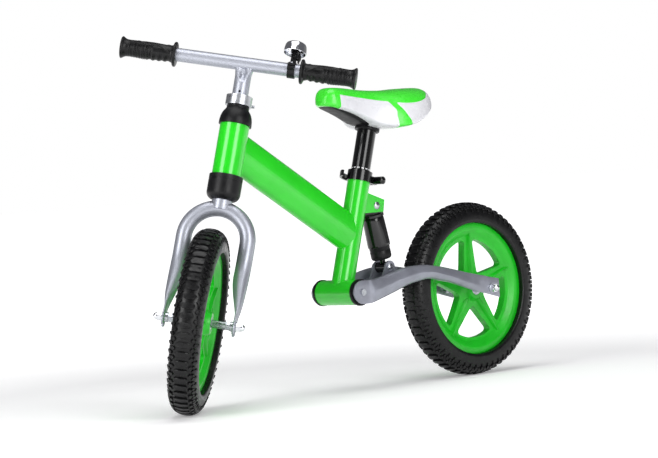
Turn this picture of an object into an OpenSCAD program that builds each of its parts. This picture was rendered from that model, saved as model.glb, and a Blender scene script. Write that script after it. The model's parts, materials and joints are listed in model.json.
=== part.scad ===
// Balance bike for a small child: two moulded wheels, a sprung swing arm and a telescopic saddle and bar.
// +X points forward, +Y to the rider's left and +Z up. The origin is on the ground, in the middle of the box.

/* [Wheels] */
// Outer radius of both tyres
wheel_r = 150; // [125:1:180]
// Width of the tyres
tyre_w = 48; // [36:1:60]
// Radius of the tread's crown across the tyre
crown_r = 30; // [25:1:40]
// Radius at which the tyre sits on the rim
rim_r = 114; // [90:1:125]
// Distance between the two rim flanges
rim_w = 30; // [24:1:36]
// Width of the hub between its end faces
hub_w = 40; // [34:1:46]
// Number of spokes
spoke_count = 5; // [3:1:7]
// Width of a spoke at its middle
spoke_w = 24; // [16:1:30]

/* [Axles] */
// Radius of the wheel axles
axle_r = 4; // [3:0.5:5]
// Outer radius of the wheel bearings
bearing_r = 11; // [10:0.5:13]
// Width of a wheel bearing
bearing_w = 7; // [6:1:9]
// Outer radius of the spacer sleeves
sleeve_r = 6.5; // [6:0.25:8]
// Width across the flats of the axle nuts
nut_af = 13; // [11:0.5:17]
// Length of a domed cap nut
cap_nut_len = 14; // [12:0.5:18]
// Thickness of a washer
washer_t = 1.6; // [1:0.1:3]

/* [Steering] */
// Distance between the two wheel centres with the wheel straight ahead
wheelbase = 642; // [560:1:720]
// Angle of the steering axis above the ground, from behind
head_angle = 72.25; // [66:0.25:78]
// Distance of the front axle ahead of the steering axis
rake = 28.7; // [20:0.5:36]
// How far the front wheel is turned to the left as it stands
steer_angle = 42; // [0:1:60]
// Outer radius of the head tube
head_r = 24; // [20:0.5:28]
// Length of the head tube
head_len = 85; // [70:1:110]
// Height of the head tube's lower end above the axle height, along the steering axis
head_low = 236; // [225:1:260]
// Outer radius of the steerer tube
steerer_r = 15; // [13:0.5:17]
// Radius of the fork tube
fork_tube_r = 13; // [9:0.5:13]
// Distance from the middle of the fork to a straight leg
fork_leg_y = 52; // [46:0.5:60]
// Distance from the middle of the fork to the middle of a fork end
fork_end_y = 57; // [54:0.5:64]
// Thickness of a flattened fork end
fork_end_t = 4; // [3:0.5:6]
// Height of the middle of the fork's bent crown above the axle height, along the steering axis
crown_h = 182; // [170:1:200]

/* [Handlebar] */
// Radius of the handlebar
bar_r = 11.1; // [9.5:0.1:12.7]
// Overall width of the handlebar with its grips
bar_w = 389; // [330:1:440]
// How far the middle of the bar sits to the right of the stem, which leaves room for the bell
bar_shift = 11.5; // [0:0.5:20]
// Height of the bar above the axle height, along the steering axis
bar_h = 425; // [395:1:450]
// Length of a grip
grip_len = 92; // [80:1:110]
// Radius of the flange at the inner end of a grip
grip_flange_r = 20.5; // [18:0.5:24]
// How far the stem reaches down into the steerer below the clamp
stem_insert = 77; // [60:1:100]

/* [Frame] */
// Radius of the seat tube
seat_tube_r = 19; // [18:0.5:21]
// Lean of the seat tube backwards from upright
seat_lean = 17.5; // [12:0.5:22]
// Length of the seat tube from the pivot's centre
seat_tube_len = 207; // [190:1:240]
// Height of the down tube's section
down_tube_h = 64; // [50:1:70]
// Width of the down tube's section
down_tube_w = 37; // [34:1:46]
// Where the down tube meets the steering axis, above the head tube's lower end
down_high = 48; // [40:1:56]
// Where the down tube meets the seat tube's centre line, above the pivot
down_low = 99; // [85:1:125]
// Wall of the frame's tubes
frame_wall = 2; // [1.5:0.1:3]

/* [Swing arm] */
// Distance of the swing arm's pivot ahead of the rear axle
pivot_x = 303; // [285:1:320]
// Height of the pivot above the ground
pivot_z = 167; // [160:1:180]
// Outer radius of the pivot shell
shell_r = 21.3; // [19:0.1:25]
// Width of the pivot shell
shell_w = 85; // [76:1:92]
// Radius of the pivot axle
pivot_axle_r = 8; // [6:0.5:9]
// Thickness of a swing arm's flattened front end
arm_t = 3.5; // [3:0.5:5]
// Distance from the middle plane to the outer face of a swing arm's rear end
arm_end_y = 57.4; // [56:0.1:60]

/* [Shock absorber] */
// Radius of the shock absorber's cover
cover_r = 19.5; // [18:0.5:21]
// Radius of the shock absorber's bolts
shock_bolt_r = 4; // [3:0.5:5]
// How far the shock absorber shortens
shock_travel = 9; // [6:0.5:10]
// Radius of the shock absorber's rod
rod_r = 5; // [4:0.5:6]

/* [Saddle] */
// Radius of the seat post
post_r = 16; // [12:0.1:17]
// Distance from the pivot's centre to the bottom of the saddle's socket, along the seat tube
socket_at = 281; // [262:1:300]
// How far the seat post reaches down from the saddle's socket
post_drop = 160; // [140:1:170]
// Length of the saddle
saddle_len = 272; // [240:1:300]
// Width of the saddle
saddle_w = 150; // [120:1:170]

/* [Hidden] */
$fn = 96;

// clearances
run = 0.05;         // radial clearance of a shaft that turns or slides in its bore
gap = 0.3;          // space between faces that pass each other
cut = 1;            // how far a cutting shape reaches past a face

// steering axis: it crosses the axle height at head_x
head_lean = 90 - head_angle;
straight_drop = rake * sin(head_lean) / cos(head_lean);
head_x = wheelbase - rake * cos(head_lean) - straight_drop * sin(head_lean);

// direction of the turned front axle, and the drop that lets the turned tyre touch the ground
axle_dir = [-sin(steer_angle) * cos(head_lean), cos(steer_angle), -sin(steer_angle) * sin(head_lean)];
crown_circle_r = wheel_r - crown_r;
turned_h = crown_circle_r * sqrt(1 - pow(axle_dir[2], 2)) + crown_r;
front_axle_at = (turned_h - wheel_r - rake * cos(steer_angle) * sin(head_lean)) / cos(head_lean);

// middle of the whole object's box
turned_forward = [cos(steer_angle) * cos(head_lean), sin(steer_angle), cos(steer_angle) * sin(head_lean)];
front_x = head_x - front_axle_at * sin(head_lean) + rake * turned_forward[0];
box_front = front_x + crown_circle_r * sqrt(1 - pow(axle_dir[0], 2)) + crown_r;
box_mid_x = (box_front - wheel_r) / 2;
box_mid_y = -bar_shift * axle_dir[1];

// shock absorber: upper eye on the frame, lower eye on the swing arm
eye_top = [222.8, 307.4];
eye_low = [200.8, 202.2];
shock_len = norm(eye_top - eye_low);
shock_lean = atan2(eye_top[0] - eye_low[0], eye_top[1] - eye_low[1]);
eye_r = 9;
eye_half_w = 12.2;
plate_in = eye_half_w + gap;
plate_t = 3.5;
cover_top = 15;
cover_end = 71;
boot_end = 93;
boot_r = cover_r - 1.45 - gap;
guide_r = 8;
open_eye_play = 0.7;    // extra radius of the lower eye, where the linkage is open

// hub stack from the middle outwards
hub_half = hub_w / 2;
bearing_face = hub_half - 0.5;
sleeve_end = 43.5;
nut_t = 6.5;

// frame places
head_top = head_low + head_len;
shell_half = shell_w / 2;
flange_t = 6;
flange_face = shell_half + flange_t;
arm_in = flange_face + gap;
clamp_low = seat_tube_len - 16;
clamp_high = seat_tube_len + 2;
clamp_r = seat_tube_r + 2;
ear_x = clamp_r + 7;
steerer_top = 368;
stem_clamp_low = 353.5;
stem_r = steerer_r - 1.7 - run;
stem_low = stem_clamp_low - stem_insert;
hub_r = 22;
leg_straight = 20;
lap = 1.5;
leg_r = fork_tube_r - 0.05;
leg_bend_r = 120;
leg_drop = crown_h - fork_leg_y - leg_straight - front_axle_at;
leg_far = norm([leg_bend_r - rake, leg_drop]);
leg_bend = atan2(leg_drop, leg_bend_r - rake) - acos(leg_bend_r / leg_far);
leg_low = sqrt(pow(leg_far, 2) - pow(leg_bend_r, 2));
end_shift = fork_end_y - fork_leg_y;
front_tip = fork_end_y + fork_end_t / 2 + washer_t + cap_nut_len;
rear_tip = arm_end_y + washer_t + cap_nut_len;
pivot_bolt_r = 3;
bridge_half = 39.3;
skewer_r = 3;
lever_pin_r = 2.5;
lever_y = 22;
socket_r = 21;
saddle_front = 336;     // the nose's tip, in the bike's own axes
saddle_plate_z = 462;
bell_y = 88;
bell_tilt = 10;
bell_r = 18.5;
bell_h = 18;
bell_seat = 32;
hammer_y = 8.5;
hammer_pin_r = 1.2;
down_front = [head_x - (head_low + down_high) * sin(head_lean), wheel_r + (head_low + down_high) * cos(head_lean)];
down_back = [pivot_x - down_low * sin(seat_lean), pivot_z + down_low * cos(seat_lean)];
down_run = down_front - down_back;

// ---------- helpers ----------

// the bike's own axes: x from the rear axle forwards, y from the middle plane to the left
module bike() {
    translate([-box_mid_x, -box_mid_y, 0]) children();
}

module on_head(turn = 0) {
    bike() translate([head_x, 0, wheel_r]) rotate([0, -head_lean, 0]) rotate([0, 0, turn]) children();
}

module steered() {
    on_head(steer_angle) children();
}

module at_front_axle() {
    steered() translate([rake, 0, front_axle_at]) children();
}

module at_rear_axle() {
    bike() translate([0, 0, wheel_r]) children();
}

module at_pivot() {
    bike() translate([pivot_x, 0, pivot_z]) children();
}

module on_seat_tube() {
    at_pivot() rotate([0, -seat_lean, 0]) children();
}

module on_shock() {
    bike() translate([eye_top[0], 0, eye_top[1]]) rotate([0, shock_lean, 0]) children();
}

// turns a shape that was made along z so that it lies across the bike, along y
module across() {
    rotate([-90, 0, 0]) children();
}

// both sides of the middle plane
module both_sides() {
    children();
    mirror([0, 1, 0]) children();
}

// a round bar along z between two heights
module rod(r, from, to) {
    translate([0, 0, from]) cylinder(r = r, h = to - from);
}

// a ring along z between two heights
module ring(r_out, r_in, from, to) {
    difference() {
        rod(r_out, from, to);
        rod(r_in, from - cut, to + cut);
    }
}

// a hexagon nut along z with a round hole
module hex_nut(af, hole_r, from, to) {
    difference() {
        intersection() {
            translate([0, 0, from]) cylinder(r = af / 2 / cos(30), h = to - from, $fn = 6);
            rod(af / 2 / cos(30) * 0.97, from, to);
        }
        rod(hole_r, from - cut, to + cut);
    }
}

// ---------- frame ----------

module head_tube() {
    color("limegreen") on_head() ring(head_r, head_r - frame_wall, head_low, head_top);
}

// oval made of four arcs that run into each other
module oval(height, width) {
    end_r = width * 0.405;
    end_at = height / 2 - end_r;
    side_r = (pow(end_at, 2) + pow(width / 2, 2) - pow(end_r, 2)) / (2 * (width / 2 - end_r));
    meet = end_at * side_r / (side_r - end_r);
    for (s = [-1, 1]) translate([0, s * end_at]) circle(r = end_r);
    intersection() {
        translate([side_r - width / 2, 0]) circle(r = side_r);
        translate([width / 2 - side_r, 0]) circle(r = side_r);
        square([width, 2 * meet], center = true);
    }
}

// the down tube's own line, from the seat tube's centre line to the steering axis
module on_down_tube() {
    bike() translate([down_back[0], 0, down_back[1]])
        rotate([0, 90 - atan2(down_run[1], down_run[0]), 0]) children();
}

module down_tube() {
    color("limegreen") difference() {
        on_down_tube() translate([0, 0, -30]) linear_extrude(norm(down_run) + 28) rotate(90) difference() {
            oval(down_tube_h, down_tube_w);
            oval(down_tube_h - 2 * frame_wall, down_tube_w - 2 * frame_wall);
        }
        on_head() rod(head_r, head_low - 100, head_top + 100);
        on_seat_tube() rod(seat_tube_r, 0, seat_tube_len + 60);
        on_seat_tube() translate([-200, -50, 0]) cube([200, 100, 400]);
    }
}

module seat_tube() {
    color("limegreen") difference() {
        on_seat_tube() ring(seat_tube_r, post_r + run, 0, seat_tube_len);
        at_pivot() across() rod(shell_r, -shell_w, shell_w);
    }
}

module pivot_shell() {
    color("limegreen") at_pivot() across() ring(shell_r, shell_r - 2.5, -shell_half, shell_half);
}

module shock_bracket() {
    at = eye_top;
    color("limegreen") difference() {
        bike() both_sides() translate([0, plate_in, 0]) rotate([90, 0, 0]) mirror([0, 0, 1])
            linear_extrude(plate_t) difference() {
                polygon([at + [26, 22], at + [17, 22], at + [-19, 9], at + [-15, -11], at + [34, -11]]);
                translate(at) circle(r = shock_bolt_r);
            }
        on_seat_tube() rod(seat_tube_r, 0, seat_tube_len);
    }
}

// bolt along y with a domed head on the left and a nut on the right
module cross_bolt(r, half_w) {
    across() {
        rod(r, -half_w - nut_t, half_w);
        intersection() {
            translate([0, 0, half_w - 5.4]) sphere(r = 9);
            rod(r + 2.6, half_w, half_w + 4);
        }
        hex_nut(nut_af, r, -half_w - nut_t, -half_w);
    }
}

module shock_upper_bolt() {
    color("silver") bike() translate([eye_top[0], 0, eye_top[1]])
        cross_bolt(shock_bolt_r, plate_in + plate_t);
}

module headset_upper_cup() {
    dome_r = head_r + 2.8;
    neck_r = steerer_r + 2.7;
    round_h = 20;
    color("dimgray") on_head() difference() {
        union() {
            rod(head_r - frame_wall, head_top - 12, head_top);
            rod(dome_r, head_top, head_top + 3);
            intersection() {
                translate([0, 0, head_top + 3]) sphere(r = dome_r);
                rod(dome_r, head_top + 3, head_top + round_h);
            }
            rod(neck_r, head_top, stem_clamp_low - gap);
        }
        rod(steerer_r + run, head_top - 20, head_top + 40);
    }
}

module headset_lower_cup() {
    cup_r = head_r + 3.5;
    low_at = 195.5;
    round_r = 12;
    color("dimgray") on_head() difference() {
        union() {
            rod(head_r - frame_wall, head_low, head_low + 12);
            rotate_extrude() union() {
                translate([0, low_at + round_r]) square([cup_r, head_low - low_at - round_r]);
                translate([0, low_at]) square([cup_r - round_r, round_r]);
                translate([cup_r - round_r, low_at + round_r]) circle(r = round_r);
            }
        }
        rod(steerer_r + run, 190, head_low + 20);
        ring(cup_r + 5, cup_r - 0.8, head_low - 9, head_low - 7);
    }
}

module pivot_bushes() {
    color("dimgray") at_pivot() across() for (s = [0, 1]) mirror([0, 0, s]) difference() {
        union() {
            rod(shell_r - 2.5, shell_half - 22, shell_half);
            rod(shell_r + 1, shell_half, flange_face - 1.5);
            rod(shell_r - 0.5, flange_face - 1.5, flange_face);
        }
        rod(pivot_axle_r + run, shell_half - 30, flange_face + cut);
    }
}

// ---------- seat clamp ----------

module seat_clamp() {
    color("dimgray") on_seat_tube() difference() {
        union() {
            rod(clamp_r, clamp_low, clamp_high);
            translate([-ear_x - 6, -8, clamp_low + 3]) cube([ear_x - seat_tube_r + 6, 16, 12]);
        }
        rod(seat_tube_r, clamp_low - cut, seat_tube_len);
        rod(post_r + run, clamp_low, clamp_high + cut);
        translate([-ear_x - 10, -1.5, clamp_low - cut]) cube([ear_x, 3, 30]);
        translate([-ear_x, 0, clamp_low + 9]) across() rod(skewer_r, -20, 20);
    }
}

module at_skewer() {
    on_seat_tube() translate([-ear_x, 0, clamp_low + 9]) children();
}

// the skewer runs across behind the post: a nut on the left, an eye for the lever's pin on the right
module seat_clamp_skewer() {
    color("dimgray") at_skewer() {
        across() {
            rod(skewer_r, -8, 26);
            rod(6.5, 8, 28);
            intersection() {
                translate([0, 0, 22.5]) sphere(r = 8.5);
                rod(6.5, 28, 31);
            }
        }
        difference() {
            translate([0, -18, 0]) cube([9, 20, 9], center = true);
            translate([0, -lever_y, 0]) rod(lever_pin_r, -8, 8);
            translate([-6, -8, -6]) cube([12, 10, 12]);
        }
    }
}

module quick_release_pin() {
    color("silver") at_skewer() translate([0, -lever_y, 0]) rod(lever_pin_r, -8.5, 8.5);
}

// two cheeks around the eye and a handle that wraps around the post, bent with it
module quick_release_lever() {
    bend_r = clamp_r + 9;
    color("dimgray") at_skewer() {
        for (s = [0, 1]) mirror([0, 0, s]) difference() {
            union() {
                translate([0, -lever_y, 0]) rod(6, 4.8, 8.5);
                translate([0, -lever_y - 6, 4.8]) cube([12, 6, 3.7]);
            }
            translate([0, -lever_y, 0]) rod(lever_pin_r + run, 4, 10);
        }
        translate([11, -lever_y - 6, -8.5]) cube([4, 6, 17]);
        translate([ear_x, 0, -5]) linear_extrude(10) intersection() {
            difference() {
                circle(r = bend_r + 3.5);
                circle(r = bend_r);
            }
            polygon([[0, 0], [-ear_x + 13, -26], [-ear_x + 13, -60], [60, -60], [60, -18]]);
        }
    }
}

// ---------- seat post and saddle ----------

module seat_post() {
    color("dimgray") on_seat_tube() ring(post_r, post_r - 2, socket_at - post_drop, socket_at + 24);
}

module on_socket() {
    on_seat_tube() translate([0, 0, socket_at]) rotate([0, seat_lean, 0]) children();
}

// outline of the saddle seen from above, from the nose at the front to two lobes at the back
module saddle_outline(inset = 0) {
    hull() {
        translate([saddle_front - 24, 0]) circle(r = 24 - inset);
        translate([saddle_front - 120, 0]) circle(r = 34 - inset);
        for (s = [-1, 1]) translate([saddle_front - saddle_len + 62, s * (saddle_w / 2 - 50)])
            circle(r = 50 - inset);
        translate([saddle_front - saddle_len + 50, 0]) circle(r = 50 - inset);
    }
}

module saddle_lump(x, y, z, lx, ly, lz) {
    translate([saddle_front + x, y, z]) scale([lx, ly, lz]) sphere(r = 1, $fn = 32);
}

// soft pad: crowned on top, deep at the back, slim at the nose
module saddle_pad() {
    color("lime") difference() {
        bike() hull() {
            saddle_lump(-26, 0, 491, 26, 24, 15);
            saddle_lump(-100, 0, 482, 44, 38, 23);
            for (s = [-1, 1]) saddle_lump(72 - saddle_len, s * (saddle_w / 2 - 45), 468, 58, 45, 32);
            saddle_lump(56 - saddle_len, 0, 472, 56, 58, 32);
        }
        bike() translate([0, 0, 400]) linear_extrude(saddle_plate_z - 400) saddle_outline(12);
        on_socket() rod(socket_r + 1, -10, saddle_plate_z - 420);
    }
}

// hard base: a plate under the pad and a socket for the post
module saddle_base() {
    color("dimgray") difference() {
        union() {
            intersection() {
                bike() translate([0, 0, saddle_plate_z - 6]) linear_extrude(6) saddle_outline(13);
                bike() hull() {
                    saddle_lump(-26, 0, 491, 25, 23, 30);
                    saddle_lump(56 - saddle_len, 0, 465, 55, 57, 40);
                }
            }
            on_seat_tube() rod(socket_r, socket_at, socket_at + 30);
        }
        on_seat_tube() rod(post_r, socket_at - cut, socket_at + 24);
        bike() translate([0, 0, saddle_plate_z]) cylinder(r = 400, h = 60);
        on_seat_tube() translate([0, 0, socket_at + 9]) across() rod(2.5, 0, 30);
    }
}

// cross bolt that holds the saddle's socket to the post
module saddle_bolt() {
    color("silver") on_seat_tube() translate([0, 0, socket_at + 9]) across() {
        rod(2.5, post_r, socket_r);
        rod(4.5, socket_r, socket_r + 3);
    }
}

// ---------- steering ----------

module steerer_tube() {
    color("silver") difference() {
        steered() ring(steerer_r, stem_r + run, crown_h, steerer_top);
        crown_tube(fork_tube_r);
    }
}

// the bent crown of the fork, a half ring in the plane across the steering axis
module crown_tube(r) {
    steered() translate([0, 0, crown_h - fork_leg_y]) rotate([90, 0, 90])
        rotate_extrude(angle = 180) translate([fork_leg_y, 0]) circle(r = r);
}

// a leg: straight down, bent forwards, straight to the flattened end with an open slot
module fork_leg(side) {
    steered() mirror([0, side, 0]) translate([0, fork_leg_y, crown_h - fork_leg_y]) {
        rod(leg_r, -leg_straight - lap, lap);
        translate([leg_bend_r, 0, -leg_straight]) rotate([90, 0, 0]) rotate_extrude(angle = leg_bend, start = 180)
            translate([leg_bend_r, 0]) circle(r = fork_tube_r);
        translate([leg_bend_r, 0, -leg_straight]) rotate([0, -leg_bend, 0]) translate([-leg_bend_r, 0, 0]) {
            rod(leg_r, -leg_low + 34, lap);
            rotate([90, 0, 90]) translate([0, 0, -13.6]) linear_extrude(27.2)
                polygon([[-8, 38 - leg_low], [8, 38 - leg_low], [end_shift + fork_end_t / 2, 12 - leg_low],
                    [end_shift - fork_end_t / 2, 12 - leg_low]]);
            difference() {
                translate([-14, end_shift - fork_end_t / 2, -leg_low - 19]) cube([28, fork_end_t, 32]);
                for (s = [-1, 1]) translate([s * 14, end_shift, -leg_low - 19]) rotate([0, 45, 0])
                    cube([14, 10, 14], center = true);
            }
        }
    }
}

module fork() {
    color("silver") difference() {
        union() {
            crown_tube(fork_tube_r);
            for (side = [0, 1]) fork_leg(side);
        }
        at_front_axle() {
            across() rod(axle_r, -90, 90);
            rotate([0, -leg_bend, 0]) translate([-axle_r, -90, -50]) cube([2 * axle_r, 180, 50]);
        }
    }
}

module crown_collar() {
    color("silver") difference() {
        steered() ring(steerer_r + 1.5, steerer_r, crown_h - 2, 195.5 - gap);
        crown_tube(fork_tube_r);
    }
}

module front_axle() {
    color("silver") at_front_axle() across() rod(axle_r, -front_tip + 4, front_tip - 4);
}

// pieces on an axle, made for one side and repeated on the other
module on_both_ends() {
    for (s = [0, 1]) mirror([0, s, 0]) across() children();
}

module front_sleeves() {
    color("silver") at_front_axle() on_both_ends() ring(sleeve_r, axle_r, hub_half + 0.1, sleeve_end);
}

module front_lock_nuts() {
    color("silver") at_front_axle() on_both_ends() hex_nut(nut_af, axle_r, sleeve_end, sleeve_end + nut_t);
}

module front_washers() {
    color("silver") at_front_axle() on_both_ends() {
        ring(8, axle_r, sleeve_end + nut_t, fork_end_y - fork_end_t / 2);
        ring(8, axle_r, fork_end_y + fork_end_t / 2, fork_end_y + fork_end_t / 2 + washer_t);
    }
}

// a domed cap nut from one height on, closed at its end
module cap_nut(from) {
    difference() {
        union() {
            hex_nut(nut_af, axle_r, from, from + cap_nut_len * 0.5);
            rod(nut_af * 0.43, from + 1, from + cap_nut_len - nut_af * 0.43);
            translate([0, 0, from + cap_nut_len - nut_af * 0.43]) sphere(r = nut_af * 0.43);
        }
        rod(axle_r, from - cut, from + cap_nut_len - 4);
    }
}

module front_cap_nuts() {
    color("silver") at_front_axle() on_both_ends() cap_nut(front_tip - cap_nut_len);
}

module stem_clamp() {
    color("silver") steered() difference() {
        union() {
            rod(steerer_r + 6.5, stem_clamp_low, steerer_top + 1.5);
            translate([-steerer_r - 16, -8, stem_clamp_low + 1]) cube([16, 16, 13]);
        }
        rod(steerer_r, stem_clamp_low - cut, steerer_top);
        rod(stem_r + run, steerer_top - cut, steerer_top + 5);
        translate([-steerer_r - 20, -1.5, stem_clamp_low - cut]) cube([20, 3, 40]);
        translate([-steerer_r - 11, 0, stem_clamp_low + 8]) across() rod(2.5, -20, 20);
    }
}

module stem_clamp_bolt() {
    color("silver") steered() translate([-steerer_r - 11, 0, stem_clamp_low + 8]) across() {
        rod(2.5, -23, 23);
        hex_nut(9, 2.5, -16, -8);
        rod(4.5, 8, 13);
    }
}

// ---------- handlebar ----------

module stem() {
    color("silver") steered() difference() {
        ring(stem_r, stem_r - 2, stem_low, bar_h);
        translate([0, 0, bar_h]) across() rod(bar_r, -60, 60);
        translate([0, 0, steerer_top + 8]) rotate([0, 90, 0]) rod(2, 0, 30);
    }
}

module at_bar() {
    steered() translate([0, -bar_shift, bar_h]) children();
}

module handlebar_tube() {
    color("silver") at_bar() across() ring(bar_r, bar_r - 2, -bar_w / 2 + 4, bar_w / 2 - 4);
}

// a grip from its closed outer end to its inner flange
module grip(side) {
    color("dimgray") at_bar() mirror([0, side, 0]) across() difference() {
        union() {
            rod(18, bar_w / 2 - 7, bar_w / 2);
            rod(16, bar_w / 2 - grip_len, bar_w / 2 - 7);
            rod(grip_flange_r, bar_w / 2 - grip_len, bar_w / 2 - grip_len + 5);
        }
        rod(bar_r, 0, bar_w / 2 - 4);
    }
}

module grip_left() {
    grip(0);
}

module grip_right() {
    grip(1);
}

module at_bell() {
    at_bar() translate([0, bell_y, 0]) rotate([0, -bell_tilt, 0]) children();
}

// a band around the bar and a flat arm up to the bell's seat
module bell_bracket() {
    color("dimgray") at_bell() {
        across() ring(bar_r + 2.4, bar_r, -6, 6);
        difference() {
            translate([-3, -4.5, bar_r + 1]) cube([6, 9, bell_seat - bar_r - 1]);
            across() rod(bar_r + 1, -20, 20);
        }
        rod(7, bell_seat, bell_seat + 3);
        translate([0, 0, bell_seat + 3]) rod(3, 0, 10);
        translate([0, 0, bell_seat - 9]) {
            translate([0, hammer_y, 0]) rotate([0, 90, 0]) rod(hammer_pin_r, -5, 5);
            difference() {
                translate([-5, 0, -3.5]) cube([10, hammer_y + 2.5, 7]);
                translate([-3.3, 3.8, -5]) cube([6.6, 20, 10]);
            }
        }
        difference() {
            translate([bar_r + 1, -6, -4.5]) cube([8, 12, 9]);
            translate([bar_r + 5, -8, -0.75]) cube([8, 20, 1.5]);
        }
    }
}

// a cup of polished steel, open below
module bell_dome() {
    round_r = 6;
    color("silver") at_bell() translate([0, 0, bell_seat - 2]) rotate_extrude() difference() {
        union() {
            square([bell_r, bell_h - round_r]);
            square([bell_r - round_r, bell_h]);
            translate([bell_r - round_r, bell_h - round_r]) circle(r = round_r);
        }
        translate([-1, -1]) square([bell_r, bell_h - round_r + 1]);
        translate([-1, -1]) square([bell_r - round_r + 1, bell_h]);
        translate([bell_r - round_r, bell_h - round_r]) circle(r = round_r - 1);
        translate([-50, -50]) square([50, 100]);
    }
}

module bell_screws() {
    color("silver") at_bell() {
        translate([bar_r + 5, 0, 4.5]) rod(3, 0, 2.5);
        rod(2.5, bell_seat + bell_h - 2, bell_seat + bell_h + 0.5);
    }
}

// the hammer's spring lever, hinged beside the arm
module bell_hammer() {
    color("dimgray") at_bell() translate([0, hammer_y, bell_seat - 9]) {
        difference() {
            union() {
                rotate([0, 90, 0]) rod(3.2, -3, 3);
                translate([-3, -1.5, -9]) cube([6, 3, 10]);
                translate([-2, -1.2, 0]) cube([4, 2.4, 11]);
                translate([0, 3.2, 11]) sphere(r = 2.6);
            }
            rotate([0, 90, 0]) rod(hammer_pin_r + run, -5, 5);
        }
    }
}

// ---------- wheels ----------

// section of a tyre: a crown arc, round shoulders and a flat seat on the rim
module tyre_section() {
    intersection() {
        translate([crown_circle_r, 0]) circle(r = crown_r);
        square([2 * wheel_r, tyre_w], center = true);
        difference() {
            translate([rim_r, -tyre_w]) square([80, 2 * tyre_w]);
            for (s = [-1, 1]) translate([rim_r, s * (tyre_w / 2 + 2)]) rotate(45) square(11, center = true);
        }
    }
}

module tyre() {
    color("dimgray") across() rotate_extrude($fn = 128) tyre_section();
}

// moulded wheel: rim with two flanges, ribbed spokes and a hub bored for the bearings
module rim() {
    window_r = rim_r - 13;
    color("limegreen") across() difference() {
        union() {
            ring(rim_r, window_r, -rim_w / 2, rim_w / 2);
            rod(hub_r, -hub_half, hub_half);
            for (k = [0 : spoke_count - 1]) rotate(k * 360 / spoke_count + 90) {
                translate([10, -spoke_w / 2, -7]) cube([window_r - 7, spoke_w, 14]);
                translate([10, -4, -11]) cube([window_r - 6, 8, 22]);
            }
        }
        for (s = [0, 1]) mirror([0, 0, s]) rod(bearing_r, bearing_face - bearing_w, hub_half + cut);
        rod(bearing_r - 2, -hub_half, hub_half);
    }
}

module bearings() {
    color("silver") on_both_ends() ring(bearing_r, axle_r + run, bearing_face - bearing_w, bearing_face);
}

module front_tyre() {
    at_front_axle() tyre();
}

module front_rim() {
    at_front_axle() rim();
}

module front_bearings() {
    at_front_axle() bearings();
}

module rear_tyre() {
    at_rear_axle() tyre();
}

module rear_rim() {
    at_rear_axle() rim();
}

module rear_bearings() {
    at_rear_axle() bearings();
}

// ---------- swing arm ----------

// a thin slice of the arm at a place, with its slope, height and thickness
module arm_slice(p) {
    translate([p[0], p[1], p[2]]) rotate([0, -p[3], 0]) scale([1, p[5] / 2, p[4] / 2])
        rotate([0, 90, 0]) cylinder(r = 1, h = 1, center = true, $fn = 32);
}

// the arm's bent tube, flattened at the pivot and at the axle: x, y, z, slope, height, thickness
module swing_arm(side) {
    end_mid = arm_end_y - 2.25;
    slices = [
        [pivot_x - 18, arm_in + arm_t / 2, 167, -14, 40, arm_t],
        [250, 49, 171, -17, 36, 15],
        [200, 49, 184, -16, 33, 19],
        [145, 49, 189.5, 2, 25, 21],
        [90, 50, 178, 14, 27, 19],
        [38, 52, 163.5, 15, 31, 12],
        [12, end_mid, 154.5, 15, 33, 4.5]
    ];
    color("silver") bike() mirror([0, side, 0]) difference() {
        union() {
            for (k = [0 : len(slices) - 2]) hull() {
                arm_slice(slices[k]);
                arm_slice(slices[k + 1]);
            }
            translate([pivot_x, 0, pivot_z]) across() rod(20, arm_in, arm_in + arm_t);
            translate([0, 0, wheel_r]) rotate([0, -15, 0])
                translate([-14, end_mid - 2.25, -16.5]) cube([28, 4.5, 33]);
        }
        translate([pivot_x, 0, pivot_z]) across() rod(pivot_bolt_r, arm_in - cut, arm_in + 20);
        translate([0, 0, wheel_r]) across() rod(axle_r, 40, 70);
        translate([pivot_x, 0, pivot_z]) across() rod(23, 30, arm_in);
    }
}

module swing_arm_left() {
    swing_arm(0);
}

module swing_arm_right() {
    swing_arm(1);
}

// a plate between the arms with two ears for the shock absorber's lower bolt
module swing_bridge() {
    color("silver") difference() {
        bike() {
            translate([206, 0, 181.5]) rotate([0, 14, 0]) cube([56, 2 * bridge_half, 5], center = true);
            both_sides() translate([0, plate_in, 0]) rotate([90, 0, 0]) mirror([0, 0, 1]) linear_extrude(plate_t)
                union() {
                    translate(eye_low) circle(r = 11);
                    polygon([[186, 184], [190, 204], [211, 204], [226, 176]]);
                }
        }
        bike() translate([eye_low[0], 0, eye_low[1]]) across() rod(shock_bolt_r, -30, 30);
    }
}

module shock_lower_bolt() {
    color("silver") bike() translate([eye_low[0], 0, eye_low[1]]) cross_bolt(shock_bolt_r, plate_in + plate_t);
}

module pivot_axle() {
    color("silver") at_pivot() across() ring(pivot_axle_r, pivot_bolt_r, -arm_in, arm_in);
}

module pivot_bolts() {
    color("silver") at_pivot() on_both_ends() {
        rod(pivot_bolt_r, arm_in - 20, arm_in + arm_t);
        rod(pivot_bolt_r + 2.5, arm_in + arm_t, arm_in + arm_t + 2.5);
    }
}

module rear_axle() {
    color("silver") at_rear_axle() across() rod(axle_r, -rear_tip + 4, rear_tip - 4);
}

module rear_sleeves() {
    color("silver") at_rear_axle() on_both_ends() ring(sleeve_r, axle_r, hub_half + 0.1, sleeve_end);
}

module rear_lock_nuts() {
    color("silver") at_rear_axle() on_both_ends() hex_nut(nut_af, axle_r, sleeve_end, sleeve_end + nut_t);
}

module rear_washers() {
    color("silver") at_rear_axle() on_both_ends() {
        ring(8, axle_r, sleeve_end + nut_t, arm_end_y - 4.5);
        ring(8, axle_r, arm_end_y, arm_end_y + washer_t);
    }
}

module rear_cap_nuts() {
    color("silver") at_rear_axle() on_both_ends() cap_nut(rear_tip - cap_nut_len);
}

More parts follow.
